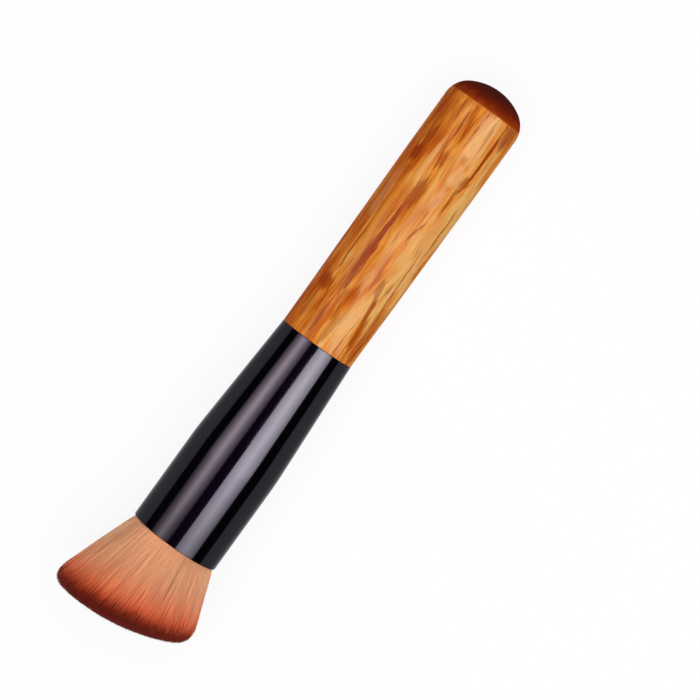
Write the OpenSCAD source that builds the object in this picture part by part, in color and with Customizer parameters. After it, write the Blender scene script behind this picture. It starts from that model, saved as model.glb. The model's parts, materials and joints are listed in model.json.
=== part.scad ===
// Foundation brush with a dense, slanted, slightly domed head.
// A turned wooden handle, a thin drawn metal ferrule and one bound knot of filaments.
// Every piece is made upright on the brush's own axis: z = 0 is the ferrule's mouth,
// the filaments stand above it and the handle hangs below. lay_down() then puts the
// finished piece on the table, where the brush lies on its side, resting on the rim of
// its head and on the end of its handle. All sizes are in millimetres.

/* [Handle] */
// Length of wood that shows, from the domed end to the ferrule
handle_l = 72.5; // [60:0.1:100]
// Diameter of the thick end
handle_d = 19.9; // [18:0.1:24]
// Length of the true cylinder next to the domed end
handle_straight_l = 17; // [10:0.5:35]
// Radius of the domed end
dome_r = 13.4; // [13:0.1:40]
// Rounding between the dome and the side
dome_edge_r = 6.4; // [1:0.1:8]
// How far the wood stands inside the ferrule's edge, on the radius
joint_step = 0.1; // [0:0.01:0.4]
// Rounding of the wood where it meets the ferrule
joint_edge_r = 0.12; // [0.05:0.01:0.3]
// Chamfer on the end of the tenon
tenon_chamfer = 0.8; // [0.2:0.1:2]

/* [Ferrule] */
// Length of the ferrule
ferrule_l = 57.4; // [52:0.1:80]
// Outer diameter at the mouth
ferrule_mouth_d = 23; // [22:0.1:26]
// Outer diameter at the wood
ferrule_joint_d = 19.4; // [18.5:0.1:21]
// Length of the straight part below the mouth
ferrule_straight_l = 24.9; // [20:0.1:32]
// Thickness of the metal
ferrule_wall = 0.5; // [0.3:0.05:0.8]
// Radius of the soft bend between the straight part and the cone
ferrule_bend_r = 100; // [20:1:200]
// Rounding of the ferrule's lower edge
ferrule_edge_r = 0.2; // [0.05:0.01:0.3]

/* [Filaments] */
// Free length of the filaments at the middle of the head
tuft_l = 23.5; // [16:0.1:32]
// Flare of the outermost filaments
tuft_flare = 20.9; // [12:0.1:26]
// Radius of the domed face
face_r = 51.5; // [45:0.5:120]
// Slant of the face
face_slant = 9.5; // [0:0.1:15]
// Rounding of the face's rim
face_edge_r = 3.2; // [0.5:0.1:4]
// Strands across the knot, so their number is this squared
strands_across = 19; // [18:1:22]
// Length of a strand's pointed tip
tip_l = 1.8; // [0.8:0.1:4]
// How much shorter than the face a strand may be
tip_scatter = 0.6; // [0:0.1:1.5]
// How far a tip may stand aside of its place
tip_sway = 0.1; // [0:0.01:0.14]
// How far the table presses the lowest strands in
table_press = 0.5; // [0.1:0.1:0.8]
// Space between the knot and the metal at the mouth
mouth_clearance = 0.15; // [0.05:0.01:0.4]

/* [Knot] */
// Depth of the knot's root below the mouth
knot_depth = 17; // [12:0.1:20]
// Thickness of the slice of resin that joins the roots
root_slice = 1.5; // [1:0.1:3]
// Thickness of the binding thread
thread_d = 0.5; // [0.3:0.05:0.6]
// Turns of the binding thread
thread_turns = 5; // [3:1:6]
// Distance from turn to turn
thread_pitch = 1.1; // [1:0.05:1.3]
// Height of the first turn above the slice
thread_start = 0.6; // [0.4:0.1:1.5]
// Space between the thread and the metal
thread_clearance = 0.12; // [0.05:0.01:0.3]

/* [Glue] */
// Length of the resin plug behind the roots
plug_l = 8; // [4:0.1:10]
// Depth of the hollow that the resin's skin draws as it sets
plug_dish = 1.2; // [0.2:0.1:2]
// Air left between the plug and the end of the tenon
air_l = 10.1; // [4:0.1:16]
// Length of the glue around the tenon
glue_l = 14; // [6:0.5:15]
// Thinnest film left between two glued surfaces
film = 0.05; // [0.02:0.01:0.1]

/* [Hidden] */
$fn = 96;

// Steps of the small and of the large arcs
small_steps = 6;
dome_steps = 14;
bend_steps = 6;

// Radii and heights that follow from the driving dimensions
handle_r = handle_d / 2;
mouth_r = ferrule_mouth_d / 2;
joint_r = ferrule_joint_d / 2;
joint_z = -ferrule_l;
end_z = joint_z - handle_l;
cone_l = ferrule_l - ferrule_straight_l;
cone_angle = atan((mouth_r - joint_r) / cone_l);
bend_z = ferrule_bend_r * tan(cone_angle / 2) - ferrule_straight_l;
wood_r = joint_r - joint_step;
tenon_r = joint_r - ferrule_wall - film;
tenon_l = ferrule_l - knot_depth - plug_l - air_l;
tenon_end_z = joint_z + tenon_l;
plug_z = -knot_depth - plug_l;
root_z = root_slice - knot_depth;

// Centres of the domed end and of the rounding around it, which touch each other inside
dome_z = end_z + dome_r;
edge_reach_r = handle_r - dome_edge_r;
edge_z = dome_z - sqrt(pow(dome_r - dome_edge_r, 2) - pow(edge_reach_r, 2));
dome_angle = atan2(edge_z - dome_z, edge_reach_r);

// Points of an arc around a centre, from one angle to another
function arc(centre, r, from, to, steps) =
    [for (i = [0:steps]) let (a = from + (to - from) * i / steps) centre + r * [cos(a), sin(a)]];

// Outer radius of the ferrule at a height: straight, then a soft bend, then a cone
function ferrule_r(z) =
    z >= bend_z ? mouth_r :
    z >= bend_z - ferrule_bend_r * sin(cone_angle)
        ? mouth_r - ferrule_bend_r + sqrt(pow(ferrule_bend_r, 2) - pow(z - bend_z, 2)) :
    joint_r + (z - joint_z) * tan(cone_angle);

// Radius of a glued body inside the ferrule, a film away from the metal
function inner_r(z) = ferrule_r(z) - ferrule_wall - film;

// Outline of something that follows the inside of the ferrule between two heights
function inner_line(from, to, steps) =
    [for (i = [0:steps]) let (z = from + (to - from) * i / steps) [inner_r(z), z]];

// Turned wood: a tenon, the shoulder at the ferrule, a slight swell, the grip and the dome
module handle() {
    color("#b9662c")
        lay_down()
            rotate_extrude()
                polygon(concat(
                    [[0, tenon_end_z],
                     [tenon_r - tenon_chamfer, tenon_end_z],
                     [tenon_r, tenon_end_z - tenon_chamfer],
                     [tenon_r, joint_z]],
                    arc([wood_r - joint_edge_r, joint_z - joint_edge_r], joint_edge_r,
                        90, 0, small_steps),
                    [[handle_r, edge_z + handle_straight_l]],
                    arc([edge_reach_r, edge_z], dome_edge_r, 0, dome_angle, dome_steps),
                    arc([0, dome_z], dome_r, dome_angle, -90, dome_steps)));
}

// Drawn metal tube with a rolled lip at the mouth and a broken edge at the wood
module ferrule() {
    lip_r = ferrule_wall / 2;
    outside = concat(
        arc([mouth_r - ferrule_bend_r, bend_z], ferrule_bend_r, 0, -cone_angle, bend_steps),
        arc([joint_r - ferrule_edge_r, joint_z + ferrule_edge_r], ferrule_edge_r,
            -cone_angle, -90, small_steps));
    inside = [
        [joint_r - ferrule_wall, joint_z],
        for (p = arc([mouth_r - ferrule_bend_r, bend_z], ferrule_bend_r,
                     -cone_angle, 0, bend_steps)) p - [ferrule_wall, 0]];
    lip = arc([mouth_r - lip_r, -lip_r], lip_r, 180, 0, 2 * small_steps);
    color("#1a171c")
        lay_down()
            rotate_extrude()
                polygon(concat(lip, outside, inside));
}

// Potting resin: it holds the slice of roots in a shallow cup and sets with a hollow skin
module epoxy_plug() {
    plug_r = inner_r(plug_z);
    skin_r = (pow(plug_r, 2) + pow(plug_dish, 2)) / (2 * plug_dish);
    skin_angle = asin(plug_r / skin_r);
    color("#c9a35c")
        lay_down()
            rotate_extrude()
                polygon(concat(
                    [[0, -knot_depth], [root_r + film, -knot_depth], [root_r + film, root_z]],
                    inner_line(root_z, plug_z, bend_steps),
                    arc([0, plug_z + plug_dish - skin_r], skin_r,
                        90 - skin_angle, 90, dome_steps)));
}

// Glue that fills the wedge between the straight tenon and the flaring ferrule
module tenon_glue() {
    top_z = tenon_end_z - tenon_chamfer;
    color("#d9cfae")
        lay_down()
            rotate_extrude()
                polygon(concat(
                    [[tenon_r + film, top_z - glue_l], [tenon_r + film, top_z]],
                    inner_line(top_z, top_z - glue_l, bend_steps)));
}

// The knot is a little narrower at its root, so that the thread clears the metal
tuft_mouth_r = mouth_r - ferrule_wall - mouth_clearance;
thread_bottom_z = root_z + thread_start;
thread_top_z = thread_bottom_z + thread_turns * thread_pitch;
thread_top_share = (thread_top_z - root_z) / -root_z;
bound_r = mouth_r - ferrule_wall - thread_clearance - thread_d - film;
root_r = (bound_r - tuft_mouth_r * thread_top_share) / (1 - thread_top_share);

// Radius of the whole bundle of strands at a height
function bundle_r(z) =
    z < 0 ? tuft_mouth_r + (root_r - tuft_mouth_r) * z / root_z : tuft_mouth_r + z * tan(tuft_flare);

// The face is a large ball, slanted so that the strands on the +y side are the longer ones
face_centre = [0, face_r * sin(face_slant), tuft_l - face_r * cos(face_slant)];
function face_z(p) =
    face_centre.z + sqrt(pow(face_r, 2) - pow(p.x - face_centre.x, 2) - pow(p.y - face_centre.y, 2));

// How much the rounded rim lowers a tip that stands near the outside of the bundle
function rim_drop(place, z) =
    let (inside = (1 - norm(place)) * bundle_r(z))
    inside >= face_edge_r ? 0 : face_edge_r - sqrt(pow(face_edge_r, 2) - pow(face_edge_r - inside, 2));

// Height at which a strand that fans out from its place in the knot reaches the face
function reach_z(place, z = tuft_l, tries = 4) =
    tries == 0 ? z - rim_drop(place, z) : reach_z(place, face_z(bundle_r(z) * place), tries - 1);

// A square grid drawn onto a disc of radius 1, row by row, with cells of equal area
function disc_point(a, b) =
    a == 0 && b == 0 ? [0, 0] :
    abs(a) >= abs(b) ? a * [cos(45 * b / a), sin(45 * b / a)] :
    b * [sin(45 * a / b), cos(45 * a / b)];

// Each strand fills its cell at the root and part of it at the mouth and near the tip
mouth_share = 0.82;
shoulder_share = 0.66;
strands = pow(strands_across, 2);
grid = strands_across + 1;
grid_places = [for (j = [0:strands_across]) for (i = [0:strands_across])
    disc_point(2 * i / strands_across - 1, 2 * j / strands_across - 1)];
cells = [for (j = [0:strands_across - 1]) for (i = [0:strands_across - 1])
    [j * grid + i, j * grid + i + 1, (j + 1) * grid + i + 1, (j + 1) * grid + i]];
scatter_shares = rands(0, 1, strands, 7);
sway_shares = rands(-1, 1, 2 * strands, 11);

// Four corners of a strand's section at a height, drawn in to a share of its cell
function section(k, z, share, sway) =
    let (corners = [for (c = cells[k]) grid_places[c]],
         middle = (corners[0] + corners[1] + corners[2] + corners[3]) / len(corners))
    [for (c = corners)
        let (p = bundle_r(z) * (middle + share * (c - middle)) + sway) [p.x, p.y, z]];

// A strand above its root: a section at the mouth, one below the tip, and the tip
function strand(k) =
    let (corners = [for (c = cells[k]) grid_places[c]],
         middle = (corners[0] + corners[1] + corners[2] + corners[3]) / len(corners),
         tip_z = reach_z(middle) - tip_scatter * scatter_shares[k],
         sway = tip_sway * [sway_shares[2 * k], sway_shares[2 * k + 1]],
         tip = bundle_r(tip_z) * middle + sway)
    [section(k, 0, mouth_share, [0, 0]),
     section(k, tip_z - tip_l, shoulder_share, sway),
     [[tip.x, tip.y, tip_z]]];

free_strands = [for (k = [0:strands - 1]) strand(k)];

// The slope of the lying brush: its handle's rounded end touches the table and a point
// of the head goes into it by table_press, so the point that needs most slope decides
function slope_for(p) =
    let (across = p.x + edge_reach_r, along = p.z - edge_z)
    atan2(along, across)
        - acos(-(dome_edge_r + table_press) / sqrt(pow(across, 2) + pow(along, 2)));

rest_slope = max([for (s = free_strands) for (ring = s) for (p = ring) slope_for(p)]);
up = [cos(rest_slope), 0, sin(rest_slope)];
axis_height = dome_edge_r + edge_reach_r * cos(rest_slope) - edge_z * sin(rest_slope);
function height(p) = p * up + axis_height;

// A section that would lie in the table is bent up to lie on it
function pressed(ring) =
    let (low = min([for (p = ring) height(p)]))
    low >= 0 ? ring : [for (p = ring) p - low * up];

strand_points = [for (s = free_strands) for (ring = s) for (p = pressed(ring)) p];

// Where the lying brush reaches along and across the table, seen from the mouth
rest_x = [for (p = strand_points) p.x * sin(rest_slope) - p.z * cos(rest_slope)];
rest_y = [for (p = strand_points) p.y];
handle_reach = dome_r - dome_z * cos(rest_slope);
middle_x = (min(rest_x) + handle_reach) / 2;
middle_y = (min(rest_y) + max(rest_y)) / 2;

// From the upright brush to the brush on the table: head at -x, handle at +x
module lay_down() {
    translate([-middle_x, -middle_y, axis_height])
        rotate([0, rest_slope - 90, 0])
            children();
}

// The bound bundle: the strands' roots tile the top of the slice that joins them
root_points = [for (p = grid_places) [root_r * p.x, root_r * p.y, root_z]];
outline = [
    for (i = [0:strands_across - 1]) i,
    for (j = [0:strands_across - 1]) j * grid + strands_across,
    for (i = [strands_across:-1:1]) strands_across * grid + i,
    for (j = [strands_across:-1:1]) j * grid];
butt_points = [for (k = outline) [root_points[k].x, root_points[k].y, -knot_depth]];
butt_start = len(root_points);
butt_middle = butt_start + len(outline);
strand_start = butt_middle + 1;
corner_count = 4;
point_count = len(strand_points) / strands;

// Two triangles between two edges, seen from outside
function side(low_left, low_right, high_right, high_left) =
    [[low_left, high_left, high_right], [low_left, high_right, low_right]];

function strand_faces(k) =
    let (mouth = strand_start + k * point_count,
         shoulder = mouth + corner_count,
         tip = shoulder + corner_count)
    [for (c = [0:corner_count - 1]) let (d = (c + 1) % corner_count) each concat(
        side(cells[k][c], cells[k][d], mouth + d, mouth + c),
        side(mouth + c, mouth + d, shoulder + d, shoulder + c),
        [[shoulder + c, tip, shoulder + d]])];

slice_faces = [for (c = [0:len(outline) - 1]) let (d = (c + 1) % len(outline)) each concat(
    side(butt_start + c, butt_start + d, outline[d], outline[c]),
    [[butt_middle, butt_start + c, butt_start + d]])];

module bristle_tuft() {
    color("#cf7f55")
        lay_down()
            polyhedron(
                points = concat(root_points, butt_points, [[0, 0, -knot_depth]], strand_points),
                faces = concat(slice_faces, [for (k = [0:strands - 1]) each strand_faces(k)]),
                convexity = strands_across);
}

// Binding thread: one unbroken helix that hugs the knot as it widens
thread_sides = 6;
thread_steps = 24;
thread_rings = thread_turns * thread_steps;
thread_line = [for (i = [0:thread_rings])
    let (a = 360 * i / thread_steps,
         z = thread_bottom_z + thread_pitch * i / thread_steps,
         r = bundle_r(z) + film + thread_d / 2)
    [r * cos(a), r * sin(a), z]];
thread_points = [for (i = [0:thread_rings]) for (k = [0:thread_sides - 1])
    let (a = 360 * i / thread_steps, b = 360 * k / thread_sides)
    thread_line[i] + thread_d / 2 * [cos(b) * cos(a), cos(b) * sin(a), sin(b)]];

// The least space between one turn and the next, measured on the line's own points
thread_gap = min([for (i = [0:thread_rings - thread_steps / 2])
    for (j = [i + thread_steps / 2:thread_rings]) norm(thread_line[i] - thread_line[j])]) - thread_d;
echo(thread_gap = thread_gap, strands = strands, rest_slope = rest_slope);

module knot_thread() {
    last = thread_rings * thread_sides;
    sides = [for (i = [0:thread_rings - 1]) for (k = [0:thread_sides - 1])
        let (a = i * thread_sides + k, b = i * thread_sides + (k + 1) % thread_sides)
        each side(b, a, a + thread_sides, b + thread_sides)];
    ends = [for (k = [1:thread_sides - 2]) each
        [[0, k + 1, k], [last, last + k, last + k + 1]]];
    color("#e8e2d4")
        lay_down()
            polyhedron(points = thread_points, faces = concat(sides, ends), convexity = thread_turns);
}

handle();
ferrule();
bristle_tuft();
knot_thread();
epoxy_plug();
tenon_glue();
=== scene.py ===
# %% [markdown]
# A foundation brush, dressed for its portrait. This lesson adds what the eye looks for:
# lacquer over figured wood, black anodised metal and a dense head of fine dyed
# filaments.

# %% Load the frame
import json
import math

import bmesh
import bpy
import numpy as np
from mathutils import Matrix, Vector


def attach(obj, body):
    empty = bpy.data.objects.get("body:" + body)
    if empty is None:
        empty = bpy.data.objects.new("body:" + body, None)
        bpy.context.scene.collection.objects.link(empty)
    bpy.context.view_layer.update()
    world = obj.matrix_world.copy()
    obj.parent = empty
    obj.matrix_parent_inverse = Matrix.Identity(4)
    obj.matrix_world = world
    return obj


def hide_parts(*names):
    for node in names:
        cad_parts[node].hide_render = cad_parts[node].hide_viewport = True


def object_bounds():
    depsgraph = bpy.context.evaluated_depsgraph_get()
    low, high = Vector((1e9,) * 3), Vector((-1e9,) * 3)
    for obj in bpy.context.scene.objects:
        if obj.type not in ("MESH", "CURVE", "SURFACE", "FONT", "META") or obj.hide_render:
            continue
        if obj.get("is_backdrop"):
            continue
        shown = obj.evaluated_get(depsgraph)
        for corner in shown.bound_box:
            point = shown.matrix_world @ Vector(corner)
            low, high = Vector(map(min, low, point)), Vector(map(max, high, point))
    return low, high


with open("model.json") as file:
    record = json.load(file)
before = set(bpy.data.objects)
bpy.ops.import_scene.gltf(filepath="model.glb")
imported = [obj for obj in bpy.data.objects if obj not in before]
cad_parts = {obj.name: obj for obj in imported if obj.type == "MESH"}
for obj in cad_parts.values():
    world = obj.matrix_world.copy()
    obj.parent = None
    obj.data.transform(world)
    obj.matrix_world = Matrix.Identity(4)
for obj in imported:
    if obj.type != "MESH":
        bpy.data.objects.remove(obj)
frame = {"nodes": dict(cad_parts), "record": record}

cad_low, cad_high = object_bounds()
print("nodes:", sorted(frame["nodes"]))

# %% [markdown]
# The brush lies on its side and leans a little, so none of its pieces runs along a world
# axis. Every size below is easier to think about on the brush itself: upright, in
# millimetres, with zero at the ferrule's mouth, the filaments above it and the handle
# below. One matrix takes such a point to its place on the table. Its direction is that
# of the grip in the record, and the ferrule's farthest point along it is the mouth.

# %% The brush's own axes
MM = 0.001
LONG_SIDE = Vector((0, 1, 0))

grip = frame["record"]["mounts"][0]
grip_middle = Vector(grip["pos_m"])
to_head = -Vector(grip["axis"]).normalized()
above = LONG_SIDE.cross(to_head)


def reach(name):
    """The lowest and the highest place of a node along the brush, seen from the grip."""
    places = [(v.co - grip_middle).dot(to_head) for v in frame["nodes"][name].data.vertices]
    return min(places), max(places)


joint_place, mouth_place = reach("ferrule")
end_place = reach("handle")[0]
mouth = grip_middle + to_head * mouth_place
to_table = Matrix.Translation(mouth) @ Matrix((above, LONG_SIDE, to_head)).transposed().to_4x4()

joint_z = (joint_place - mouth_place) / MM
end_z = (end_place - mouth_place) / MM
grip_radius = grip["dims"]["r_mm"]
print(f"slope {math.degrees(math.asin(to_head.z)):.2f} degrees")
print(f"the wood starts {-joint_z:.1f} mm below the mouth and ends {-end_z:.1f} mm below it")

# %% [markdown]
# A material is a small graph of nodes. One function adds any node with its settings and
# its links, so that each material below reads as a list of decisions. Colours are written
# as hex values, as on a paint chart, and one function turns them into the linear light
# that the shader works in.

# %% Helpers for colours and nodes
# Where a Mix node keeps its factor, its two colours and its result
FACTOR, FIRST, SECOND, MIXED = 0, 6, 7, 2


def linear(hex_colour):
    """An sRGB hex colour as linear red, green, blue and alpha."""
    parts = [int(hex_colour[i:i + 2], 16) / 255 for i in (1, 3, 5)]
    return [p / 12.92 if p <= 0.04045 else ((p + 0.055) / 1.055) ** 2.4 for p in parts] + [1.0]


def add(tree, kind, inputs=None, stops=None, **settings):
    """Adds one node with its settings, its inputs as values or links, and a ramp's stops."""
    made = tree.nodes.new(kind)
    for name, value in settings.items():
        setattr(made, name, value)
    for name, value in (inputs or {}).items():
        if isinstance(value, bpy.types.NodeSocket):
            tree.links.new(value, made.inputs[name])
        else:
            made.inputs[name].default_value = value
    for k, (place, colour) in enumerate(stops or []):
        elements = made.color_ramp.elements
        stop = elements[k] if k < len(elements) else elements.new(place)
        stop.position = place
        stop.color = colour
    return made


def new_material(name):
    """An empty material with its shader and its output."""
    made = bpy.data.materials.new(name)
    made.use_nodes = True
    tree = made.node_tree
    tree.nodes.clear()
    shader = add(tree, "ShaderNodeBsdfPrincipled")
    add(tree, "ShaderNodeOutputMaterial", {"Surface": shader.outputs[0]})
    return made, tree, shader


def brush_places(tree):
    """The point being shaded, on the upright brush and in millimetres."""
    place = add(tree, "ShaderNodeTexCoord").outputs["Object"]
    return add(tree, "ShaderNodeMapping", {
        "Vector": place, "Location": mouth, "Rotation": to_table.to_euler(),
        "Scale": (MM, MM, MM)}, vector_type="TEXTURE").outputs[0]


def grain(tree, places, width, length, start=0.0, **noise):
    """Noise in patches that are so many millimetres wide and long, along the brush."""
    drawn_out = add(tree, "ShaderNodeMapping", {
        "Vector": places, "Location": (start, start, start),
        "Scale": (1 / width, 1 / width, 1 / length)}).outputs[0]
    return add(tree, "ShaderNodeTexNoise", {"Vector": drawn_out, "Scale": 1.0, **noise}).outputs


def dress(name, material):
    """Gives a CAD node its finish in place of the plain one."""
    data = frame["nodes"][name].data
    data.materials.clear()
    data.materials.append(material)


print(f"half grey as linear light: {linear('#808080')[0]:.3f}")

# %% [markdown]
# The handle is a figured tropical hardwood, turned on a lathe, stained orange brown and
# dipped in clear lacquer. An image of wood wrapped round it would show a seam and stretch
# over the dome. So the wood is a pattern in space, drawn out along the brush, and the
# turned surface cuts through it as the lathe's blade did.
# The broad tone comes first. Early and late growth lie in patches a few millimetres wide,
# with narrower bands inside them, and the -Y flank, which faces the lights, is painted paler
# as painted light. Growth never runs straight, so everything is read a little to one side of
# its place: once with a short, ragged shift and once more with a long, slow drift.

# %% Growth: the broad tone of the wood
# No two blanks show the same figure, and this number picks one
BLANK = 40.7
# Half of the blank's width in millimetres, and the tone that its two sides add. The -Y flank,
# which faces the lights, is made paler: painted light
BLANK_HALF = 10.0
SHADED_FLANK_TONE, LIT_FLANK_TONE = 0.03, 0.15
# How wide and long the patches of figure and bands are, and how much they count
FIGURE_WIDTH, FIGURE_LENGTH, FIGURE_WEIGHT = 4.0, 16.0, 0.5
BAND_WIDTH, BAND_LENGTH, BAND_WEIGHT = 1.0, 12.0, 0.3
# How wide and long the patches of the two shifts are, and how far they go
RAGGED_WIDTH, RAGGED_LENGTH, RAGGED = 0.8, 5.0, 0.5
DRIFT_WIDTH, DRIFT_LENGTH, DRIFT = 7.0, 24.0, 2.5


def wandering(tree, places):
    """The places with a ragged shift, and the same with a slow drift as well."""
    shifted = [places]
    for width, length, far in (
            (RAGGED_WIDTH, RAGGED_LENGTH, RAGGED), (DRIFT_WIDTH, DRIFT_LENGTH, DRIFT)):
        shift = grain(tree, places, width, length, Detail=1.0)["Color"]
        shift = add(tree, "ShaderNodeVectorMath", {0: shift, 1: (0.5, 0.5, 0.5)},
                    operation="SUBTRACT").outputs[0]
        shifted.append(add(tree, "ShaderNodeVectorMath", {
            0: shift, 1: (far, far, far), 2: shifted[-1]}, operation="MULTIPLY_ADD").outputs[0])
    return shifted[1:]


def growth_colour(tree, wavy):
    """Stained wood from orange brown to straw, by figure and bands, painted paler on the lit -Y
    flank.
    """
    across = add(tree, "ShaderNodeSeparateXYZ", {0: wavy}).outputs["Y"]
    # The tone grows towards -Y: painted light for the flank that faces the lights
    tone = add(tree, "ShaderNodeMapRange", {
        "Value": across, "From Min": BLANK_HALF, "From Max": -BLANK_HALF,
        "To Min": SHADED_FLANK_TONE, "To Max": LIT_FLANK_TONE}).outputs[0]
    for width, length, weight in (
            (FIGURE_WIDTH, FIGURE_LENGTH, FIGURE_WEIGHT), (BAND_WIDTH, BAND_LENGTH, BAND_WEIGHT)):
        layer = grain(tree, wavy, width, length, start=BLANK, Detail=2.0)[0]
        tone = add(tree, "ShaderNodeMath", {0: layer, 1: weight, 2: tone},
                   operation="MULTIPLY_ADD").outputs[0]
    return add(tree, "ShaderNodeValToRGB", {0: tone}, stops=[
        (0.34, linear("#aa480e")), (0.43, linear("#c0621a")),
        (0.52, linear("#d6852f")), (0.62, linear("#dea85e"))]).outputs[0]


print(f"figure {FIGURE_WIDTH} by {FIGURE_LENGTH} mm, bands {BAND_WIDTH} by {BAND_LENGTH} mm")

# %% [markdown]
# What makes one handle different from the next is where its marks lie: flames of darker
# wood, thin dark lines and pale patches. The pale patches are partly the wood's pale figure
# and partly a painted highlight: most lie along the -Y flank, where the right softbox's stripe
# falls, and the largest, near the dome, is that stripe's glint painted into the colour. Noise
# alone would never put them in the right spots, and painting them on an image would fix their
# fineness. Instead each mark is one row of sizes, a long egg shape round a spot on the grip's
# surface, and its edge is frayed by the ragged shift and by the fibres.

# %% Where the flames, dark lines and pale patches lie
# Distance from the joint, place across, half length and half width in mm, tilt in degrees
# and strength
FLAMES = [
    (41.8, 1.8, 4.6, 1.5, -6, 0.75), (25.0, 2.7, 13.8, 1.05, -1, 0.95),
    (6.5, 3.2, 5.5, 0.35, -1, 0.7), (58.1, -6.6, 9.2, 0.45, 0, 0.95),
    (43.8, -5.6, 3.8, 0.3, 0, 0.7), (60.9, -4.3, 5.0, 0.2, 0, 0.6),
    (37.0, -8.4, 6.4, 0.22, 1, 0.7), (21.8, -7.5, 8.5, 0.2, 1, 0.7),
    (64.9, -7.8, 4.0, 1.5, 0, 0.75), (48.6, -6.2, 2.8, 0.5, -24, 0.7),
    (50.2, -6.1, 2.4, 1.0, 0, 0.7), (8.6, -6.1, 9.5, 0.8, 6.5, 0.85),
    (7.9, -8.4, 8.3, 1.2, 0, 0.55), (54.4, -2.8, 1.3, 0.9, 0, 0.35),
    (34.4, -3.3, 3.4, 0.35, -14, 0.7), (2.9, -4.3, 3.0, 0.2, -7, 0.4),
    (18.6, -4.6, 3.2, 0.8, 5, 0.6), (20.0, -2.4, 3.6, 0.25, 0, 0.5),
    (12.6, 1.3, 3.2, 1.5, -5, 0.5), (5.5, -0.4, 5.5, 1.1, -5, 0.35),
    (51.8, 1.2, 3.0, 1.1, -8, 0.65), (59.8, -1.0, 4.7, 0.24, -1, 0.5),
    (59.3, 0.8, 4.7, 0.3, 2, 0.75), (60.6, 2.5, 4.3, 0.3, 3, 0.8),
    (62.8, 5.0, 3.2, 0.8, 0, 0.4), (54.3, 6.9, 3.6, 0.9, -6, 0.75),
    (49.8, 7.2, 2.8, 1.4, -5, 1.0), (61.5, 7.8, 5.0, 1.0, 0, 0.4),
    (25.5, 6.4, 10.4, 0.28, 0, 0.8), (13.2, 6.7, 2.6, 1.9, 20, 0.85),
    (6.0, 3.8, 5.0, 1.0, 0, 0.4), (10.0, 5.1, 3.6, 0.25, 2, 0.6),
    (7.0, 7.0, 3.5, 1.0, 0, 0.35)]
# Pale marks: partly the wood's pale figure, partly a painted highlight where the right softbox's
# stripe falls along the -Y flank; the first is that stripe's glint near the dome
PALE_FIGURE_AND_HIGHLIGHT = [
    (61.0, -3.2, 8.5, 2.7, 0, 0.75), (50.4, -3.7, 3.2, 1.3, -6, 0.6),
    (30.5, -6.5, 12.0, 2.7, 0, 0.6), (7.6, -3.7, 8.5, 1.9, 2, 0.7),
    (31.0, -0.9, 13.5, 1.3, 0, 0.35), (43.6, -3.1, 3.4, 1.5, 0, 0.5),
    (19.5, -0.8, 4.0, 1.3, 0, 0.5), (38.0, 7.8, 8.0, 1.0, 0, 0.3),
    (50.5, 3.9, 6.5, 0.7, -4, 0.5), (25.0, 4.7, 11.0, 0.8, 0, 0.3),
    (3.0, -5.2, 3.2, 0.7, 0, 0.5)]
# A mark reaches this far into the wood
MARK_DEPTH = 5.0
# Its strength fades between these shares of its half sizes, give or take the fraying
FADE_START, FADE_END, FRAYING = 0.6, 1.2, 0.9


def with_marks(tree, colour, ragged, fibre, marks, tint):
    """The colour with one kind of mark tinted into it; where marks overlap, the stronger."""
    fraying = add(tree, "ShaderNodeMapRange", {
        "Value": fibre, "To Min": -FRAYING, "To Max": FRAYING}).outputs[0]
    drawn = 0.0
    for depth, aside, half_length, half_width, tilt, strength in marks:
        surface = math.sqrt(max(0, grip_radius ** 2 - aside ** 2))
        inside = add(tree, "ShaderNodeMapping", {
            "Vector": ragged, "Location": (surface, aside, joint_z - depth),
            "Rotation": (math.radians(tilt), 0, 0),
            "Scale": (MARK_DEPTH, half_width, half_length)}, vector_type="TEXTURE").outputs[0]
        away = add(tree, "ShaderNodeVectorMath", {0: inside}, operation="LENGTH").outputs["Value"]
        away = add(tree, "ShaderNodeMath", {0: away, 1: fraying}).outputs[0]
        one = add(tree, "ShaderNodeMapRange", {
            "Value": away, "From Min": FADE_END, "From Max": FADE_START, "To Max": strength},
            interpolation_type="SMOOTHSTEP").outputs[0]
        drawn = add(tree, "ShaderNodeMath", {0: one, 1: drawn}, operation="MAXIMUM").outputs[0]
    return add(tree, "ShaderNodeMix", {FACTOR: drawn, FIRST: colour, SECOND: linear(tint)},
               data_type="RGBA").outputs[MIXED]


print(f"marks in the wood: {len(FLAMES)} dark and {len(PALE_FIGURE_AND_HIGHLIGHT)} pale")

# %% [markdown]
# Close to, two finer things make the eye say wood: fibres, which change the tone by up to
# a tenth, and open pores, which fill with stain and show as fine dark dashes. Both could
# be cut into the surface as bumps, but under lacquer they are flat, so they are colour
# alone.

# %% Fibres and pores
FIBRE_WIDTH, FIBRE_LENGTH = 0.4, 8.0
FIBRE_DARK, FIBRE_LIGHT = 0.88, 1.03
# Most of a noise lies between these two
NOISE_LOW, NOISE_HIGH = 0.35, 0.65
# Pores are 0.1 mm wide, which is finer than a pixel here, so they are drawn wider
PORE_WIDTH, PORE_LENGTH = 0.42, 9.0
# A pore opens where its noise passes the first of these and is full at the second
PORE_EDGE, PORE_FULL, PORE_STRENGTH = 0.68, 0.78, 0.5


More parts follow.
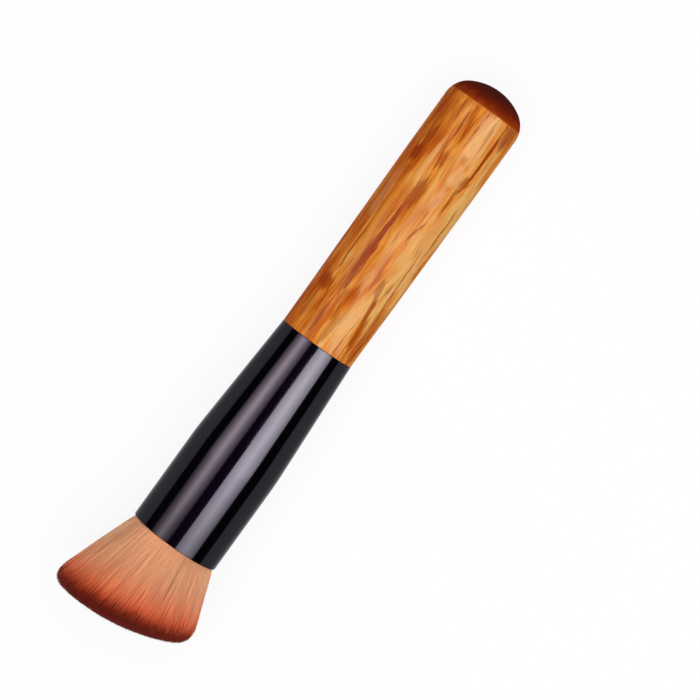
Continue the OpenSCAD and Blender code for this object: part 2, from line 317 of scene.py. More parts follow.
def with_fibres_and_pores(tree, colour, wavy, fibre):
    """The colour with its fibres a little lighter and darker, and stain in its pores."""
    fibre = add(tree, "ShaderNodeMapRange", {
        "Value": fibre, "From Min": NOISE_LOW, "From Max": NOISE_HIGH,
        "To Min": FIBRE_DARK, "To Max": FIBRE_LIGHT}).outputs[0]
    colour = add(tree, "ShaderNodeMix", {FACTOR: 1.0, FIRST: colour, SECOND: fibre},
                 data_type="RGBA", blend_type="MULTIPLY").outputs[MIXED]
    pores = grain(tree, wavy, PORE_WIDTH, PORE_LENGTH, Detail=0.0)[0]
    pores = add(tree, "ShaderNodeMapRange", {
        "Value": pores, "From Min": PORE_EDGE, "From Max": PORE_FULL,
        "To Max": PORE_STRENGTH}).outputs[0]
    return add(tree, "ShaderNodeMix", {FACTOR: pores, FIRST: colour, SECOND: linear("#702200")},
               data_type="RGBA").outputs[MIXED]


print(f"fibres {FIBRE_WIDTH} by {FIBRE_LENGTH} mm, pores {PORE_WIDTH} by {PORE_LENGTH} mm")

# %% [markdown]
# The lathe's end cuts across the fibres. Such end grain drinks stain unevenly, so the dome
# is a dark, blotchy red brown, and it starts at a sharp line, where the dipping stopped. Its
# colour grows darker towards the tip as painted shade, for the end that turns from the lights.
# A second material on the dome's faces would need an edge in the mesh along that line, so the
# height along the brush chooses between the two colours instead.

# %% The stained dome
# How far from the handle's end the line lies, and how soft it is
STAIN_HEIGHT, STAIN_EDGE = 5.4, 0.15
# How dark the stain is at the line, and at the tip, where painted shade darkens it further,
# before the blotches add to it
LINE_DARKNESS, TIP_STAIN_AND_SHADE = -0.2, 0.8
BLOTCH_WIDTH, BLOTCH_LENGTH, BLOTCH_WEIGHT = 2.2, 3.0, 0.4


def stained_and_shaded_dome(tree, places):
    """Where the dome was dipped, and its colour: stain, darkened towards the tip by painted shade.
    """
    height = add(tree, "ShaderNodeSeparateXYZ", {0: places}).outputs["Z"]
    # From the line to the tip the colour darkens: the end grain's stain with painted shade over it
    stain_and_shade = add(tree, "ShaderNodeMapRange", {
        "Value": height, "From Min": end_z + STAIN_HEIGHT, "From Max": end_z,
        "To Min": LINE_DARKNESS, "To Max": TIP_STAIN_AND_SHADE}).outputs[0]
    blotches = grain(tree, places, BLOTCH_WIDTH, BLOTCH_LENGTH, Detail=2.0)[0]
    stain_and_shade = add(tree, "ShaderNodeMath", {0: blotches, 1: BLOTCH_WEIGHT, 2: stain_and_shade},
                 operation="MULTIPLY_ADD").outputs[0]
    stain = add(tree, "ShaderNodeValToRGB", {0: stain_and_shade}, stops=[
        (0.0, linear("#94380c")), (0.35, linear("#661d09")), (0.8, linear("#461713"))]).outputs[0]
    dipped = add(tree, "ShaderNodeMapRange", {
        "Value": height, "From Min": end_z + STAIN_HEIGHT + STAIN_EDGE,
        "From Max": end_z + STAIN_HEIGHT - STAIN_EDGE}).outputs[0]
    return dipped, stain


print(f"the stain starts {STAIN_HEIGHT} mm from the handle's end")

# %% [markdown]
# The finish puts these together and lays the lacquer over them. Lacquer has an IOR of 1.5
# and is nearly smooth. It is thin here and rubbed down, so only a small share of it glints,
# and end grain drinks it, so hardly any of it stands on the dome. Under it the stained wood
# is matt. A glossier base without a coat could not tell the two layers apart.

# %% Figured hardwood, stained and lacquered
SIDE_LACQUER, DOME_LACQUER = 0.06, 0.01


def stained_hardwood():
    made, tree, shader = new_material("stained_lacquered_hardwood")
    places = brush_places(tree)
    ragged, wavy = wandering(tree, places)
    fibre = grain(tree, wavy, FIBRE_WIDTH, FIBRE_LENGTH, Detail=2.0)[0]

    colour = growth_colour(tree, wavy)
    # Pale marks, partly a painted highlight of the right softbox's stripe
    colour = with_marks(tree, colour, ragged, fibre, PALE_FIGURE_AND_HIGHLIGHT, "#e2a967")
    colour = with_marks(tree, colour, ragged, fibre, FLAMES, "#94380a")
    colour = with_fibres_and_pores(tree, colour, wavy, fibre)
    dipped, stain = stained_and_shaded_dome(tree, places)
    colour = add(tree, "ShaderNodeMix", {FACTOR: dipped, FIRST: colour, SECOND: stain},
                 data_type="RGBA").outputs[MIXED]
    lacquer = add(tree, "ShaderNodeMapRange", {
        "Value": dipped, "To Min": SIDE_LACQUER, "To Max": DOME_LACQUER}).outputs[0]

    tree.links.new(colour, shader.inputs["Base Color"])
    tree.links.new(lacquer, shader.inputs["Coat Weight"])
    shader.inputs["Roughness"].default_value = 0.5
    shader.inputs["Specular IOR Level"].default_value = 0.0
    shader.inputs["Coat Roughness"].default_value = 0.06
    shader.inputs["Coat IOR"].default_value = 1.5
    return made


wood = stained_hardwood()
dress("handle", wood)
print("nodes in the wood:", len(wood.node_tree.nodes))

# %% [markdown]
# The ferrule is aluminium tube, drawn, polished and anodised black. Black dye fills the
# oxide over the metal, so the surface is black and sharp at once: it shows the lights as
# clean, faintly violet stripes and almost nothing else. Black paint would be a dark plastic
# with a white gloss over it. This is a metal instead, with a very dark base, whose gloss is
# tinted by that base and only turns paler at its edges, where light comes in flat.
# Drawing leaves fine lines along the tube. They only soften the stripes' edges, so they
# are a bump two thousandths of a millimetre deep.

# %% Black anodised aluminium
# The dye takes a little lighter and darker in clouds of this size
CLOUD_WIDTH, CLOUD_LENGTH = 5.0, 14.0
# Real drawing lines are 0.02 mm apart, finer than a pixel, so they are drawn this wide
DRAWN_LINE_WIDTH, DRAWN_LINE_LENGTH = 0.3, 30.0
DRAWN_LINE_DEPTH = 0.002 * MM


def black_anodised_aluminium():
    made, tree, shader = new_material("black_anodised_aluminium")
    places = brush_places(tree)
    cloud = grain(tree, places, CLOUD_WIDTH, CLOUD_LENGTH, Detail=2.0)[0]
    colour = add(tree, "ShaderNodeValToRGB", {0: cloud}, stops=[
        (0.3, linear("#28262b")), (0.7, linear("#2b292d"))]).outputs[0]
    lines = grain(tree, places, DRAWN_LINE_WIDTH, DRAWN_LINE_LENGTH, Detail=2.0)[0]
    bump = add(tree, "ShaderNodeBump", {
        "Height": lines, "Distance": DRAWN_LINE_DEPTH, "Strength": 0.5}).outputs[0]
    tree.links.new(colour, shader.inputs["Base Color"])
    tree.links.new(bump, shader.inputs["Normal"])
    shader.inputs["Metallic"].default_value = 1.0
    shader.inputs["Specular Tint"].default_value = linear("#cbcacc")
    shader.inputs["Roughness"].default_value = 0.08
    return made


metal = black_anodised_aluminium()
dress("ferrule", metal)
print("nodes in the metal:", len(metal.node_tree.nodes))

# %% [markdown]
# Three pieces never show once the brush is glued up. They could stay plain, but a model
# may be opened, so each gets its own finish. The thread is waxed cotton: pale, matt, and
# striped by the twist of its strands. The resin that holds the roots is cast, so it is
# amber and smooth. Wood glue sets milky and a little dull.

# %% Hidden pieces: thread, resin and glue
# From strand to strand the thread measures this many millimetres, and the wave texture's
# own bands are pi / 5 apart
TWIST = 0.3927
# Resin and glue are cloudy in patches this wide
RESIN_CLOUD, GLUE_CLOUD = 3.0, 1.5


def waxed_thread():
    made, tree, shader = new_material("waxed_cotton_thread")
    twist = add(tree, "ShaderNodeTexWave", {
        "Vector": brush_places(tree), "Scale": math.pi / 5 / TWIST, "Distortion": 1.5},
        bands_direction="DIAGONAL").outputs[0]
    colour = add(tree, "ShaderNodeValToRGB", {0: twist}, stops=[
        (0.2, linear("#c9bfa6")), (0.8, linear("#efe8d6"))]).outputs[0]
    tree.links.new(colour, shader.inputs["Base Color"])
    shader.inputs["Roughness"].default_value = 0.7
    return made


def casting_resin():
    made, tree, shader = new_material("amber_casting_resin")
    cloud = grain(tree, brush_places(tree), RESIN_CLOUD, RESIN_CLOUD, Detail=3.0)[0]
    colour = add(tree, "ShaderNodeValToRGB", {0: cloud}, stops=[
        (0.3, linear("#b98a3e")), (0.7, linear("#d8ad62"))]).outputs[0]
    tree.links.new(colour, shader.inputs["Base Color"])
    shader.inputs["Roughness"].default_value = 0.2
    return made


def wood_glue():
    made, tree, shader = new_material("set_wood_glue")
    cloud = grain(tree, brush_places(tree), GLUE_CLOUD, GLUE_CLOUD, Detail=2.0)[0]
    colour = add(tree, "ShaderNodeValToRGB", {0: cloud}, stops=[
        (0.3, linear("#d3c79f")), (0.7, linear("#e6dcbb"))]).outputs[0]
    tree.links.new(colour, shader.inputs["Base Color"])
    shader.inputs["Roughness"].default_value = 0.5
    return made


resin = casting_resin()
dress("knot_thread", waxed_thread())
dress("epoxy_plug", resin)
dress("tenon_glue", wood_glue())
print("hidden pieces dressed: thread, plug and glue")

# %% [markdown]
# The head is what makes this a foundation brush: many thousand fine nylon filaments,
# packed tight in the ferrule, flaring as they leave it and trimmed to a slanted dome.
# Hair particles would render well but leave no mesh behind, so each filament is a thin
# three-sided tube, and numpy makes all of them at once. Real filaments are 0.07 mm thick
# and there are tens of thousands of them. These are twice as thick, so that fewer of them
# still close the bundle.
# The filaments stand in a spiral of golden angles, as seeds do in a sunflower, which packs
# a disc evenly. That disc has a radius of one, so that one pair of numbers follows a
# filament from its root to its tip, however much the bundle widens.

# %% Where each filament stands
COUNT = 24000
GOLDEN_ANGLE = math.pi * (3 - math.sqrt(5))
# How far a filament strays from the spiral, on a scale where neighbours are 1.8 apart
PACKING_ERROR = 0.12

rng = np.random.default_rng(12)
order = np.arange(COUNT)
ring = np.sqrt((order + 0.5) / COUNT)
turn = order * GOLDEN_ANGLE
stand = np.column_stack((ring * np.cos(turn), ring * np.sin(turn)))
stand += rng.normal(0, PACKING_ERROR / math.sqrt(COUNT), stand.shape)
stand /= np.maximum(1, np.linalg.norm(stand, axis=1))[:, None]
print(f"{COUNT} filaments, {math.sqrt(math.pi / COUNT):.4f} of the bundle's radius apart")

# %% [markdown]
# Two shapes rule the bundle. Its outline is a straight cone inside the ferrule, spreads
# quickly over the lip and then flares evenly. Its face is cut as a large ball that leans,
# with a rounded rim. A filament ends where it meets that face. How far out it stands by
# then depends on its own height, so its end is found by trying a few times. Trimming is
# never exact: most tips miss by a little, and a few stay shorter.

# %% The bundle's outline and its trimmed face
# The root's height and radius, and the radius at the mouth
ROOT_Z, ROOT_RADIUS, MOUTH_RADIUS = -15.5, 9.9, 10.8
# How far the bundle spreads over the lip and within what height, and its even flare
LIP_SPREAD, LIP_HEIGHT, FLARE = 0.25, 0.8, 0.355
# The length at the middle, the ball's radius and lean, and the radius of the rim
LENGTH, FACE_RADIUS, FACE_SLANT, RIM_RADIUS = 23.6, 51.5, math.radians(9.5), 3.2
FACE_TRIES = 5
# How far tips miss the face, what share of them stays shorter, and by how much at most
TRIM_ERROR = 0.2
SHORT_SHARE, SHORT_BY = 0.06, 1.6


def bundle_radius(z):
    """Radius of the whole bundle at a height: straight in the ferrule, flaring above it."""
    inside = MOUTH_RADIUS + (MOUTH_RADIUS - ROOT_RADIUS) * z / -ROOT_Z
    outside = MOUTH_RADIUS + LIP_SPREAD * (1 - np.exp(-np.maximum(z, 0) / LIP_HEIGHT)) + FLARE * z
    return np.where(z < 0, inside, outside)


def face_height(xy):
    """Height of the trimmed face, a large ball that leans so that +y is the long side."""
    middle_y = FACE_RADIUS * math.sin(FACE_SLANT)
    middle_z = LENGTH - FACE_RADIUS * math.cos(FACE_SLANT)
    return middle_z + np.sqrt(FACE_RADIUS ** 2 - xy[:, 0] ** 2 - (xy[:, 1] - middle_y) ** 2)


tip = np.full(COUNT, LENGTH)
for _ in range(FACE_TRIES):
    tip = face_height(stand * bundle_radius(tip)[:, None])
inset = np.clip((1 - np.linalg.norm(stand, axis=1)) * bundle_radius(tip), 0, RIM_RADIUS)
face = tip
tip = tip - RIM_RADIUS + np.sqrt(RIM_RADIUS ** 2 - (RIM_RADIUS - inset) ** 2)
trimmed = np.abs(rng.normal(0, TRIM_ERROR, COUNT))
tip -= trimmed + (rng.random(COUNT) < SHORT_SHARE) * rng.uniform(0, SHORT_BY, COUNT)
print(f"tips from {tip.min():.1f} to {tip.max():.1f} mm above the mouth")

# %% [markdown]
# A filament follows the flare of the bundle, with a slight wave of its own and a pull
# towards its neighbours, which gathers the surface into fine locks. A simulation of hair
# would find such locks by itself, but slowly, and sines across the disc draw them at once.
# A filament keeps its thickness for most of its length and narrows to a soft tip.

# %% The filaments' paths and thickness
THICKNESS = 0.15
# It narrows over so many of its last millimetres, to this share of its section
TAPER, TIP_AREA = 1.5, 0.01
# Rings just below and just above the mouth, then at shares of the way from there to the tip
BELOW_MOUTH, ABOVE_MOUTH = -0.6, 0.4
ALONG = np.array([0, 0.12, 0.3, 0.5, 0.7, 0.86, 0.95, 1.0])
# A lock's pull at the tip, as a share of the bundle's radius, and the power of its growth
LOCK_PULL, PULL_GROWTH = 0.0035, 1.5
# The wave's size in millimetres and the angle that it goes through on its way up
WAVE, WAVE_ANGLE = 0.11, 4

stations = np.concatenate((
    np.tile([ROOT_Z, BELOW_MOUTH], (COUNT, 1)),
    ABOVE_MOUTH + ALONG * (tip[:, None] - ABOVE_MOUTH)), axis=1)
rise = np.clip(stations / tip[:, None], 0, 1)

# Sines of unlike rates, so that the locks never line up in rows. A rate of 30 makes them
# 2 mm wide at the mouth and 3.5 mm at the face
lock_angle = 9 * stand[:, 0] + 4 * np.sin(7 * stand[:, 1])
pull = LOCK_PULL * np.column_stack((
    np.sin(31 * stand[:, 1] + lock_angle), np.sin(29 * stand[:, 0] - lock_angle)))
wave = rng.normal(0, WAVE, (COUNT, 2))
wave_start = rng.uniform(0, 2 * math.pi, COUNT)

radius = bundle_radius(stations)[..., None]
centre = radius * stand[:, None, :]
centre += radius * rise[..., None] ** PULL_GROWTH * pull[:, None, :]
centre += (rise * np.sin(WAVE_ANGLE * rise + wave_start[:, None]))[..., None] * wave[:, None, :]
path = np.concatenate((centre, stations[..., None]), axis=2)

to_tip = tip[:, None] - stations
half = THICKNESS / 2 * np.sqrt(np.clip(to_tip / TAPER, TIP_AREA, 1))
print(f"each filament has {stations.shape[1]} rings and is {THICKNESS} mm thick")

# %% [markdown]
# The tubes' texture map is laid out like a dye chart: a filament's place across the map
# picks one of a few dozen shades, and its place up the map is its depth below the face
# in millimetres. Each filament could have a strip of its own, but 24,000 strips would be
# thinner than the pixels of any image that the colours are baked to. Filaments of one
# shade share one strip, so however many there are, the bands of colour stay sharp.
# A lock's filaments were side by side in the dye, so a lock is a group of shades.

# %% The dye chart
LOCK_GROUPS, SHADES_IN_LOCK = 8, 8
SHADES = LOCK_GROUPS * SHADES_IN_LOCK
STRIP_MARGIN, STRIP_WIDTH = 0.2, 0.6
MAP_MARGIN, MAP_LENGTH = 2.0, 44.0
# The dye line is straighter than the face: so much lower per millimetre towards the long side
DYE_TILT = 0.015

# These rates are twice those of the pull, so the locks of one shade are half as wide
crossing = np.sin(61 * stand[:, 0] + 3 * lock_angle) * np.sin(57 * stand[:, 1])
lock = np.clip(np.floor(LOCK_GROUPS * (0.5 + 0.5 * crossing)), 0, LOCK_GROUPS - 1)
shade = lock * SHADES_IN_LOCK + rng.integers(0, SHADES_IN_LOCK, COUNT)
dye_line = face - DYE_TILT * (stand[:, 1] * bundle_radius(tip))
print(f"{SHADES} shades, filaments in each: {np.bincount(shade.astype(int)).min()} or more")

# %% [markdown]
# One function turns a choice of filaments into a mesh. It lays a triangle round each point
# of each path, joins the triangles to tubes and closes both ends. Where the head rests on
# the table, the lowest filaments are lifted to lie on it. Adding vertices and faces one by
# one would be slow in Python, so whole arrays are handed to Blender at once.

# %% Build the filament meshes
SIDES = 3
BUNDLES = 8
TABLE_GAP = 0.02 * MM
axes = np.array(to_table)


def filament_points(chosen):
    """The corners of the chosen filaments' rings, on the table, in metres."""
    corner = 2 * math.pi * np.arange(SIDES) / SIDES
    round_it = np.column_stack((np.cos(corner), np.sin(corner), 0 * corner))
    points = path[chosen][:, :, None, :] + half[chosen][:, :, None, None] * round_it
    points = points @ (axes[:3, :3].T * MM) + axes[:3, 3]
    lift = np.maximum(0, TABLE_GAP - points[..., 2].min(axis=2))
    points[..., 2] += lift[..., None]
    return points


def filament_mesh(name, chosen):
    """One mesh of three-sided tubes for the chosen filaments, closed at root and tip."""
    count, rings = len(chosen), stations.shape[1]
    points = filament_points(chosen)

    base = (np.arange(count) * rings * SIDES)[:, None, None]
    level = (np.arange(rings - 1) * SIDES)[None, :, None]
    side = np.arange(SIDES)[None, None, :]
    beside = (side + 1) % SIDES
    quads = np.stack((base + level + side, base + level + beside,
                      base + level + SIDES + beside, base + level + SIDES + side), axis=-1)
    quads = quads.reshape(-1, 4)
    first = (np.arange(count) * rings * SIDES)[:, None]
    roots = first + np.arange(SIDES)[::-1]
    tips = first + (rings - 1) * SIDES + np.arange(SIDES)

    data = bpy.data.meshes.new(name)
    loops = np.concatenate((quads.ravel(), roots.ravel(), tips.ravel()))
    sizes = np.concatenate((np.full(len(quads), 4), np.full(2 * count, SIDES)))
    data.vertices.add(count * rings * SIDES)
    data.vertices.foreach_set("co", points.ravel())
    data.loops.add(len(loops))
    data.loops.foreach_set("vertex_index", loops)
    data.polygons.add(len(sizes))
    data.polygons.foreach_set("loop_start", np.cumsum(sizes) - sizes)
    data.polygons.foreach_set("use_smooth", np.ones(len(sizes), bool))

    strand = loops // (rings * SIDES)
    station = loops // SIDES % rings
    across = (loops % SIDES) / SIDES
    below = dye_line[chosen][strand] - stations[chosen][strand, station]
    chart = np.column_stack((
        (shade[chosen][strand] + STRIP_MARGIN + STRIP_WIDTH * across) / SHADES,
        (MAP_MARGIN + below) / MAP_LENGTH))
    data.uv_layers.new(name="OFBake").data.foreach_set("uv", chart.ravel())
    data.update(calc_edges=True)
    data.validate()
    return data


print(f"{BUNDLES} meshes of {COUNT // BUNDLES} filaments")

# %% [markdown]
# The filaments are spun from a copper coloured nylon and then dipped: the last
# millimetres go through orange red to a brown that is nearly black, so the band follows
# the slant of the trimmed face. Painting it by height would give a ruled line. Dye never
# climbs every filament equally, so each shade and each lock shifts the band a little and
# is a little paler or darker. The tips stand apart and show those shades, while by the
# ferrule they run together. Seen from outside, the bundle is matt: its gloss is spread
# over so many round threads that hardly any is left.

# %% Dip-dyed nylon filament
# Shades in a step, by how many millimetres the dye climbs more or less, and by what share
# it is paler or darker
CHANCES = [(1.0, 0.5, 0.18), (float(SHADES_IN_LOCK), 0.85, 0.06)]
# The ramp of colours ends so many millimetres below the face
BAND_DEPTH = 20.0
# Shades show in full above the first of these depths, and below the second by this share
APART_DEPTH, TOGETHER_DEPTH, TOGETHER = 6.0, 20.0, 0.15


def dyed_filament():
    made, tree, shader = new_material("dip_dyed_nylon_filament")
    chart = add(tree, "ShaderNodeUVMap", uv_map="OFBake").outputs[0]
    chart = add(tree, "ShaderNodeSeparateXYZ", {0: chart}).outputs
    number = add(tree, "ShaderNodeMath", {0: chart["X"], 1: SHADES},
                 operation="MULTIPLY").outputs[0]
    depth = add(tree, "ShaderNodeMath", {0: chart["Y"], 1: MAP_LENGTH, 2: -MAP_MARGIN},
                operation="MULTIPLY_ADD").outputs[0]
    light = 1.0
    for step, climbs, paler in CHANCES:
        group = add(tree, "ShaderNodeMath", {0: number, 1: step}, operation="DIVIDE").outputs[0]
        group = add(tree, "ShaderNodeMath", {0: group}, operation="FLOOR").outputs[0]
        chance = add(tree, "ShaderNodeTexWhiteNoise", {"W": group}, noise_dimensions="1D").outputs
        climb = add(tree, "ShaderNodeMapRange", {
            "Value": chance["Value"], "To Min": -climbs, "To Max": climbs}).outputs[0]
        depth = add(tree, "ShaderNodeMath", {0: depth, 1: climb}).outputs[0]
        second_chance = add(tree, "ShaderNodeSeparateColor", {0: chance["Color"]}).outputs[1]
        lighter = add(tree, "ShaderNodeMapRange", {
            "Value": second_chance, "To Min": 1 - paler, "To Max": 1 + paler}).outputs[0]
        light = add(tree, "ShaderNodeMath", {0: lighter, 1: light}, operation="MULTIPLY").outputs[0]
    band = add(tree, "ShaderNodeMath", {0: depth, 1: BAND_DEPTH}, operation="DIVIDE").outputs[0]
    colour = add(tree, "ShaderNodeValToRGB", {0: band}, stops=[
        (0.0, linear("#722012")), (0.1, linear("#8a2a18")), (0.148, linear("#c74d25")),
        (0.22, linear("#e87147")), (0.32, linear("#f39262")), (0.5, linear("#f3a97d")),
        (0.7, linear("#f1b487"))]).outputs[0]
    apart = add(tree, "ShaderNodeMapRange", {
        "Value": depth, "From Min": APART_DEPTH, "From Max": TOGETHER_DEPTH,
        "To Min": 1.0, "To Max": TOGETHER}).outputs[0]
    colour = add(tree, "ShaderNodeMix", {FACTOR: apart, FIRST: colour, SECOND: light},
                 data_type="RGBA", blend_type="MULTIPLY").outputs[MIXED]
    tree.links.new(colour, shader.inputs["Base Color"])
    shader.inputs["Roughness"].default_value = 0.4
    shader.inputs["Specular IOR Level"].default_value = 0.04
    return made


filament = dyed_filament()
for k in range(BUNDLES):
    bundle_mesh = filament_mesh(f"filaments_{k + 1}", order[k::BUNDLES])
    piece = bpy.data.objects.new(f"filament_bundle_{k + 1}", bundle_mesh)
    bpy.context.scene.collection.objects.link(piece)
    piece.data.materials.append(filament)
    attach(piece, "root")
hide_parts("bristle_tuft")

# %% [markdown]
# Below the thread the roots are set in a slice of resin, which carries all of them. It
# is a disc with a slightly raised rim, where the resin crept up the outer filaments. A
# cylinder would lack that rim, so an outline is turned round the axis, as on a lathe.

# %% The slice of resin that joins the roots
# Radius and height of the outline, from the middle of its back to the middle of its front
SLICE_OUTLINE = [(0, -17), (9.85, -17), (9.95, -16.9), (9.95, -15.5), (9.8, -15.3),
                 (9.5, -15.45), (0, -15.5)]
SLICE_STEPS = 96
SAME_PLACE = 0.0001 * MM


def root_slice():
    verts, faces = [], []
    for k in range(SLICE_STEPS):
        a = 2 * math.pi * k / SLICE_STEPS
        verts += [(r * math.cos(a), r * math.sin(a), z) for r, z in SLICE_OUTLINE]
    n = len(SLICE_OUTLINE)
    for k in range(SLICE_STEPS):
        here, there = k * n, (k + 1) % SLICE_STEPS * n
        faces += [(here + j, there + j, there + j + 1, here + j + 1) for j in range(n - 1)]
    data = bpy.data.meshes.new("root_slice")
    data.from_pydata([to_table @ (Vector(v) * MM) for v in verts], [], faces)
    work = bmesh.new()
    work.from_mesh(data)
    bmesh.ops.remove_doubles(work, verts=work.verts, dist=SAME_PLACE)
    bmesh.ops.recalc_face_normals(work, faces=work.faces)
    work.to_mesh(data)
    work.free()
    return data


slice_piece = bpy.data.objects.new("root_resin_slice", root_slice())
bpy.context.scene.collection.objects.link(slice_piece)
slice_piece.data.materials.append(resin)
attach(slice_piece, "root")
print("faces in the slice:", len(slice_piece.data.polygons))

# %% [markdown]
# The set is a product photographer's table. The floor is white paper, which would render
# pale grey by itself, and more light on it would be more light on the brush. So a share of
# plain white, seen by the camera and in reflections alike, makes it a clean background,
# and the rest of it stays paper and keeps the brush's soft shadow.

# %% Floor
FLOOR_SIZE = 6.0
WHITE_SHARE = 0.88
# Paper fibres are far too fine to show, so its tone changes in clouds this many metres wide
PAPER_CLOUD = 0.15


def white_paper():
    made = bpy.data.materials.new("white_paper")
    made.use_nodes = True
    tree = made.node_tree
    tree.nodes.clear()
    clouds = add(tree, "ShaderNodeTexNoise", {"Scale": FLOOR_SIZE / PAPER_CLOUD}).outputs[0]
    colour = add(tree, "ShaderNodeValToRGB", {0: clouds}, stops=[
        (0.0, linear("#efefef")), (1.0, linear("#f3f3f3"))]).outputs[0]
    paper = add(tree, "ShaderNodeBsdfDiffuse", {0: colour}).outputs[0]
    white = add(tree, "ShaderNodeEmission", {0: linear("#ffffff"), 1: 1.0}).outputs[0]
    ray = add(tree, "ShaderNodeLightPath").outputs
    seen = add(tree, "ShaderNodeMath", {0: ray["Is Camera Ray"], 1: ray["Is Glossy Ray"]},
               operation="MAXIMUM").outputs[0]
    seen = add(tree, "ShaderNodeMath", {0: seen, 1: ray["Is Transmission Ray"]},
               operation="MAXIMUM").outputs[0]
    whiter = add(tree, "ShaderNodeMath", {0: seen, 1: WHITE_SHARE}, operation="MULTIPLY").outputs[0]
    both = add(tree, "ShaderNodeMixShader", {0: whiter, 1: paper, 2: white}).outputs[0]
    add(tree, "ShaderNodeOutputMaterial", {"Surface": both})
    return made


half_floor = FLOOR_SIZE / 2
floor_mesh = bpy.data.meshes.new("floor")
floor_mesh.from_pydata(
    [(-half_floor, -half_floor, 0), (half_floor, -half_floor, 0),
     (half_floor, half_floor, 0), (-half_floor, half_floor, 0)], [], [(0, 1, 2, 3)])
floor = bpy.data.objects.new("floor", floor_mesh)
bpy.context.scene.collection.objects.link(floor)
floor_mesh.materials.append(white_paper())
floor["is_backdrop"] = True
print(f"a floor of {FLOOR_SIZE} by {FLOOR_SIZE} m")

# %% [markdown]
# What lights a thing and what it mirrors are set apart here. A broad light overhead, which
# no gloss shows, gives the even daylight in which a colour comes out as it is written: its
# brightness times the share of the sky that it fills is one. It hangs a little to one side,
# so that a turned shape has a light and a dark flank. Two long softboxes beside the brush
# then draw the gloss, a bright one on the right and a dimmer, warmer one on the left, with
# a dark gap between them, straight above, where the camera is. A turned shape mirrors the
# three as stripes along its length. Their cloth is brighter in the middle than at its
# edges, and a dark card shades both boxes towards the head, where the stripes are dimmer.
# The boxes stop a metre beyond the handle, so the domed end mirrors only the dark room.

# %% Lights
# Sizes and places in metres, the head lying towards -X
SKY_HEIGHT, SKY_SIZE, SKY_BRIGHTNESS = 1.1, 1.8, 2.42
SKY_ASIDE = 0.2
BOX_DISTANCE = 1.0
BOX_FROM, BOX_TO = -1.6, 1.03
# The card's shadow begins and is full at these places, and lets this share through
CARD_FROM, CARD_TO, CARD_SHADE = -0.075, -0.145, 0.5


def area_light(name, width, depth, brightness, tint):
    """A rectangular light of an even brightness, in which one is paper white."""
    light = bpy.data.lights.new(name, "AREA")
    light.shape = "RECTANGLE"
    light.size = width
    light.size_y = depth
    light.energy = math.pi * brightness * width * depth
    light.color = linear(tint)[:3]
    made = bpy.data.objects.new(name, light)
    bpy.context.scene.collection.objects.link(made)
    return made


def softbox(name, from_angle, to_angle, brightness, tint, glow):
    """A long light beside the brush, from one angle off straight above to another.

    Its glow lists how bright the cloth is at shares of the way across the box.
    """
    middle = math.radians((from_angle + to_angle) / 2)
    half_angle = math.radians(abs(to_angle - from_angle) / 2)
    width = 2 * BOX_DISTANCE * math.tan(half_angle)
    made = area_light(name, BOX_TO - BOX_FROM, width, brightness, tint)
    made.location = ((BOX_FROM + BOX_TO) / 2,
                     -BOX_DISTANCE * math.sin(middle), BOX_DISTANCE * math.cos(middle))
    made.rotation_euler = (middle, 0, 0)
    made.visible_diffuse = False
    made.data.use_nodes = True
    tree = made.data.node_tree
    tree.nodes.clear()
    cloth = add(tree, "ShaderNodeNewGeometry").outputs["Parametric"]
    places = add(tree, "ShaderNodeSeparateXYZ", {0: cloth}).outputs
    colour = add(tree, "ShaderNodeValToRGB", {0: places["Y"]}, stops=[
        (place, (level, level, level, 1.0)) for place, level in glow]).outputs[0]
    card = add(tree, "ShaderNodeMapRange", {
        "Value": places["X"], "From Min": (CARD_FROM - BOX_FROM) / (BOX_TO - BOX_FROM),
        "From Max": (CARD_TO - BOX_FROM) / (BOX_TO - BOX_FROM),
        "To Min": 1.0, "To Max": CARD_SHADE}, interpolation_type="SMOOTHSTEP").outputs[0]
    lamp = add(tree, "ShaderNodeEmission", {0: colour, 1: card}).outputs[0]
    add(tree, "ShaderNodeOutputLight", {0: lamp})


sky = area_light("overhead_light", SKY_SIZE, SKY_SIZE, SKY_BRIGHTNESS, "#ffffff")
sky.location = (0, -SKY_ASIDE, SKY_HEIGHT)
sky.visible_glossy = False
softbox("right_softbox", 10.6, 58.1, 18.0, "#ffffff", [(0.0, 0.33), (0.55, 1.0), (1.0, 0.55)])
softbox("left_softbox", -12.2, -61.0, 11.8, "#fff2f4", [
    (0.0, 0.08), (0.25, 0.4), (0.5, 1.0), (0.75, 0.4), (1.0, 0.06)])
print(f"softboxes {BOX_TO - BOX_FROM:.2f} m long, {BOX_DISTANCE} m from the brush")

# %% [markdown]
# The room itself is nearly dark, so that the black metal has something black to mirror.
# Walls could be built round the table, but the world's colour, chosen by height, does the
# same for less: pale low down, where it closes the picture behind the table, and dark
# violet above.

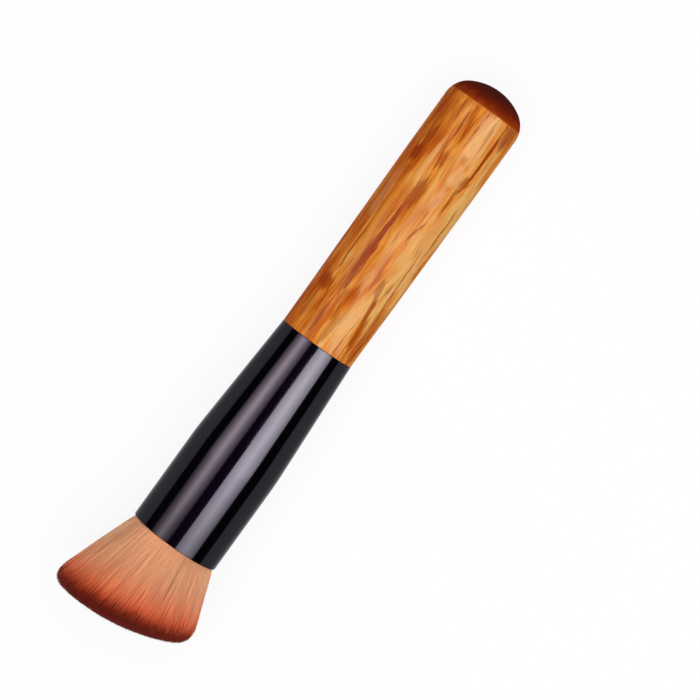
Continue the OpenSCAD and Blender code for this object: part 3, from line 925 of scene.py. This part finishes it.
# %% Room
def studio_room():
    world = bpy.data.worlds.new("studio_room")
    world.use_nodes = True
    tree = world.node_tree
    tree.nodes.clear()
    direction = add(tree, "ShaderNodeTexCoord").outputs["Generated"]
    height = add(tree, "ShaderNodeSeparateXYZ", {0: direction}).outputs["Z"]
    colour = add(tree, "ShaderNodeValToRGB", {0: height}, stops=[
        (0.0, linear("#f5f5f7")), (0.055, linear("#f3f3f5")), (0.08, linear("#3c3644")),
        (0.9, linear("#3c3644")), (1.0, linear("#674986"))]).outputs[0]
    room = add(tree, "ShaderNodeBackground", {0: colour, 1: 1.0}).outputs[0]
    add(tree, "ShaderNodeOutputWorld", {"Surface": room})
    bpy.context.scene.world = world


studio_room()
print("world:", bpy.context.scene.world.name)

# %% [markdown]
# The portrait is taken from straight above, with the camera over the handle, so that the
# rim of the ferrule's mouth bows towards the head. The brush crosses the picture from
# the upper right to the lower left. Turning the brush would move it off its own frame, so
# the camera is rolled instead.

# %% Camera
CAMERA_HEIGHT = 0.75
# The spot on the brush that the camera stands over, and the one that it looks at
FOOT_Z = -97.3
AIM_ASIDE, AIM_Z = -7.135, -60.6
PICTURE_WIDTH = 163.8 * MM
BRUSH_LEAN = math.radians(54.21)

foot = to_table @ (Vector((0, 0, FOOT_Z)) * MM)
aim = to_table @ (Vector((0, AIM_ASIDE, AIM_Z)) * MM)
lens = bpy.data.cameras.new("portrait")
camera = bpy.data.objects.new("portrait", lens)
camera.location = foot + above * CAMERA_HEIGHT
view = (aim - camera.location).normalized()
down_brush = (to_head - view * view.dot(to_head)).normalized()
beside_brush = down_brush.cross(view)
right = -math.cos(BRUSH_LEAN) * down_brush + math.sin(BRUSH_LEAN) * beside_brush
camera.rotation_euler = Matrix((right, right.cross(view), -view)).transposed().to_euler()
lens.sensor_width = 36.0
lens.lens = lens.sensor_width * (aim - camera.location).length / PICTURE_WIDTH
lens.clip_end = 20
bpy.context.scene.collection.objects.link(camera)
bpy.context.scene.camera = camera
bpy.context.scene.view_settings.view_transform = "Standard"
print(f"lens {lens.lens:.0f} mm")

# %% [markdown]
# Last, the dressed brush is measured against the bare one. Bristles may reach a hair
# further than the solid that stands for them, and anything more would be a mistake in this
# file.

# %% Print the sizes and finish
low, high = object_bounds()
grown = [max(a - b, d - c) / MM for a, b, c, d in zip(cad_low, low, cad_high, high)]
print("grown by", [round(g, 2) for g in grown], "mm")
